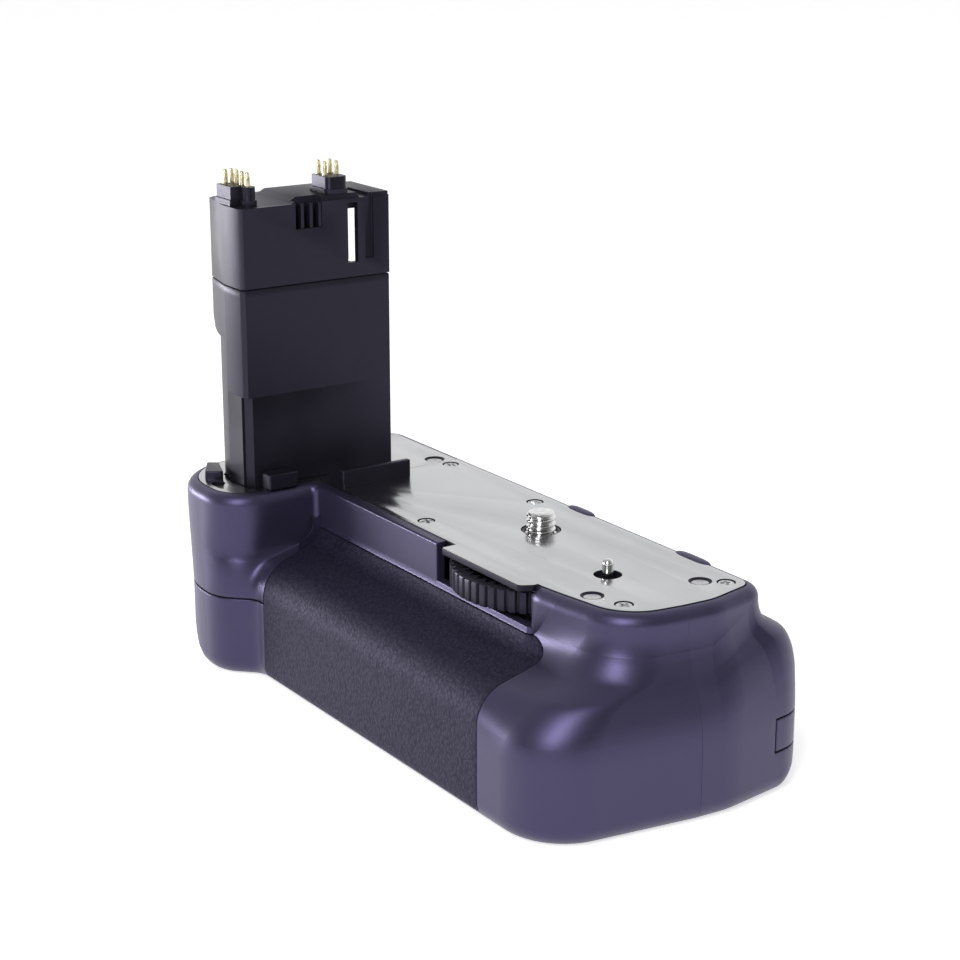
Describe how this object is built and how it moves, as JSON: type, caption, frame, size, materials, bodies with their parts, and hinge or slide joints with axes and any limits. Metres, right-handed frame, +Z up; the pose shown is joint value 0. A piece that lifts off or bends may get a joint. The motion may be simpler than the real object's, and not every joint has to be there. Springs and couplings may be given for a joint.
{
  "type": "camera battery grip",
  "caption": "Moulded grip that screws under a camera body: a tall stalk fills the battery bay, a thumb wheel drives the attachment screw and a cell tray slides out of the back.",
  "frame": {"origin": "on the axis of the attachment screw, in the top face of the plate that meets the camera", "axes": "+X along the grip away from the stalk, -Y to the front with the wheel and the grip panel, +Z up along the screw"},
  "size_m": [0.1502, 0.0756, 0.1158],
  "materials": {
    "housing": "fine moulded texture",
    "leatherette": "pebble grained",
    "plate": "satin black",
    "stalk": "smooth",
    "controls": "satin",
    "inner_plastic": "smooth",
    "frame_metal": "cast",
    "bright_metal": "polished",
    "nickel": "nickel plated",
    "contact": "gold plated",
    "board": "solder mask"
  },
  "bodies": {
    "grip_body": {"front_shell": "housing", "rear_shell": "housing", "control_cap": "housing", "base_cover": "housing", "top_plate": "plate", "stalk_deck": "plate", "grip_panel": "leatherette", "chassis": "frame_metal", "stalk_column": "stalk", "stalk_cap": "stalk", "door_keeper": "stalk", "stop_block": "stalk", "front_contact_block": "stalk", "front_contact_pins": "contact", "rear_contact_block": "stalk", "rear_contact_pins": "contact", "comb_contacts": "stalk", "locating_pin": "bright_metal", "plate_screws": "nickel", "base_screws": "nickel", "rim_pads": "stalk", "tripod_bush": "nickel", "wheel_axle": "nickel", "screw_bush": "stalk", "control_panel": "controls", "dial_axle": "nickel", "shutter_board": "board", "rear_control_plate": "controls", "button_board": "board", "bay_contacts": "contact", "cord_socket": "inner_plastic"},
    "wheel": {"thumb_wheel": "controls"},
    "screw": {"attach_screw": "bright_metal"},
    "shutter": {"shutter_button": "controls"},
    "dial": {"control_dial": "controls"},
    "power": {"power_switch": "controls"},
    "button_left": {"rear_button_left": "controls"},
    "button_middle": {"rear_button_middle": "controls"},
    "button_right": {"rear_button_right": "controls"},
    "magazine": {"magazine_tray": "inner_plastic", "magazine_door": "housing", "magazine_contacts": "contact"},
    "latch": {"magazine_latch": "controls"},
    "flap": {"cord_flap": "housing"}
  },
  "joints": [
    {"name": "wheel_turn", "type": "hinge", "parent": "grip_body", "child": "wheel", "pos_m": [0.01115, -0.00628, -0.005], "axis": [0, 0, 1], "continuous": true},
    {"name": "screw_turn", "type": "hinge", "parent": "grip_body", "child": "screw", "pos_m": [0, 0, 0], "axis": [0, 0, 1], "continuous": true},
    {"name": "shutter_press", "type": "slide", "parent": "grip_body", "child": "shutter", "axis": [1, 0, 0], "range_m": [0, 0.0012], "stiffness_N_per_m": 400, "springref_m": -0.0005},
    {"name": "dial_turn", "type": "hinge", "parent": "grip_body", "child": "dial", "pos_m": [-0.0795, -0.0036, -0.03265], "axis": [0, 0, 1], "continuous": true},
    {"name": "power_turn", "type": "hinge", "parent": "grip_body", "child": "power", "pos_m": [-0.0868, 0.0094, -0.03265], "axis": [1, 0, 0], "range_deg": [0, 45]},
    {"name": "press_left", "type": "slide", "parent": "grip_body", "child": "button_left", "axis": [0, -1, 0], "range_m": [0, 0.0008], "stiffness_N_per_m": 400, "springref_m": -0.0005},
    {"name": "press_middle", "type": "slide", "parent": "grip_body", "child": "button_middle", "axis": [0, -1, 0], "range_m": [0, 0.0008], "stiffness_N_per_m": 400, "springref_m": -0.0005},
    {"name": "press_right", "type": "slide", "parent": "grip_body", "child": "button_right", "axis": [0, -1, 0], "range_m": [0, 0.0008], "stiffness_N_per_m": 400, "springref_m": -0.0005},
    {"name": "magazine_slide", "type": "slide", "parent": "grip_body", "child": "magazine", "axis": [0, 1, 0], "range_m": [0, 0.06]},
    {"name": "latch_turn", "type": "hinge", "parent": "magazine", "child": "latch", "pos_m": [0.0365, 0.0255, -0.034], "axis": [0, 1, 0], "range_deg": [0, 90]},
    {"name": "flap_open", "type": "hinge", "parent": "grip_body", "child": "flap", "pos_m": [0.04835, 0.0254, -0.03025], "axis": [0, 0, 1], "range_deg": [0, 95]}
  ],
  "couplings": [
    {"joint": "screw_turn", "follows": "wheel_turn", "ratio": 3.6667}
  ]
}
